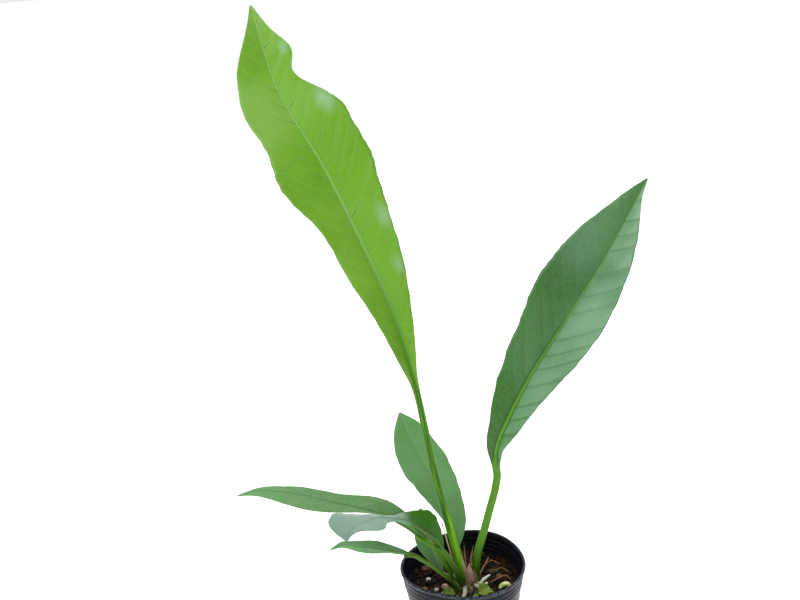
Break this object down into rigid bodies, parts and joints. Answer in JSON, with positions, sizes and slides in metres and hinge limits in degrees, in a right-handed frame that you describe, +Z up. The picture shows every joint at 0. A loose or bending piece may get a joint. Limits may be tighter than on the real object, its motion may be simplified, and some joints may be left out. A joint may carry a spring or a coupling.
{
  "type": "potted anthurium",
  "caption": "Bird's-nest anthurium with upright and arching strap leaves, rooted in a thin tapered black nursery pot.",
  "frame": {"origin": "centre of the pot's flat base", "axes": "+Z up along the pot's axis, -Y towards the front, +X towards the leaf that leans right"},
  "size_m": [0.3489, 0.1647, 0.5582],
  "materials": {
    "black_soft_plastic": "satin",
    "potting_mix": "matte",
    "crown_tissue": "matte",
    "petiole_green": "satin",
    "tall_leaf": "satin",
    "right_leaf": "satin",
    "back_leaf": "satin",
    "long_left_leaf": "satin",
    "arched_leaf": "satin",
    "short_left_leaf": "satin",
    "young_leaf": "satin",
    "green_cataphyll": "matte",
    "tan_cataphyll": "matte",
    "dry_sheath": "matte",
    "brown_spike": "matte",
    "root": "matte",
    "dry_fibre": "matte",
    "weed": "satin",
    "seed": "satin",
    "beige_stone": "matte",
    "perlite": "matte",
    "bark_chip": "matte"
  },
  "bodies": {
    "root": {"nursery_pot": "black_soft_plastic", "potting_mix": "potting_mix", "stem_crown": "crown_tissue", "tall_leaf_petiole": "petiole_green", "tall_leaf_blade": "tall_leaf", "right_leaf_petiole": "petiole_green", "right_leaf_blade": "right_leaf", "back_leaf_petiole": "petiole_green", "back_leaf_blade": "back_leaf", "long_left_leaf_petiole": "petiole_green", "long_left_leaf_blade": "long_left_leaf", "arched_leaf_petiole": "petiole_green", "arched_leaf_blade": "arched_leaf", "short_left_leaf_petiole": "petiole_green", "short_left_leaf_blade": "short_left_leaf", "young_leaf_petiole": "petiole_green", "young_leaf_blade": "young_leaf", "green_cataphyll": "green_cataphyll", "tan_cataphyll": "tan_cataphyll", "dry_sheath": "dry_sheath", "brown_spike_left": "brown_spike", "brown_spike_right": "brown_spike", "front_root": "root", "low_right_root": "root", "high_right_root": "root", "left_root": "root", "back_root": "root", "dry_strand_back": "dry_fibre", "dry_strand_right": "dry_fibre", "coir_fibre_1": "dry_fibre", "coir_fibre_2": "dry_fibre", "coir_fibre_3": "dry_fibre", "weed_leaf_left": "weed", "weed_leaf_right": "weed", "weed_leaf_front": "weed", "weed_leaf_small": "weed", "fallen_seed": "seed", "beige_stone": "beige_stone", "perlite_1": "perlite", "perlite_2": "perlite", "perlite_3": "perlite", "perlite_4": "perlite", "bark_chip_1": "bark_chip", "bark_chip_2": "bark_chip", "bark_chip_3": "bark_chip", "bark_chip_4": "bark_chip", "bark_chip_5": "bark_chip", "bark_chip_6": "bark_chip"}
  },
  "joints": []
}
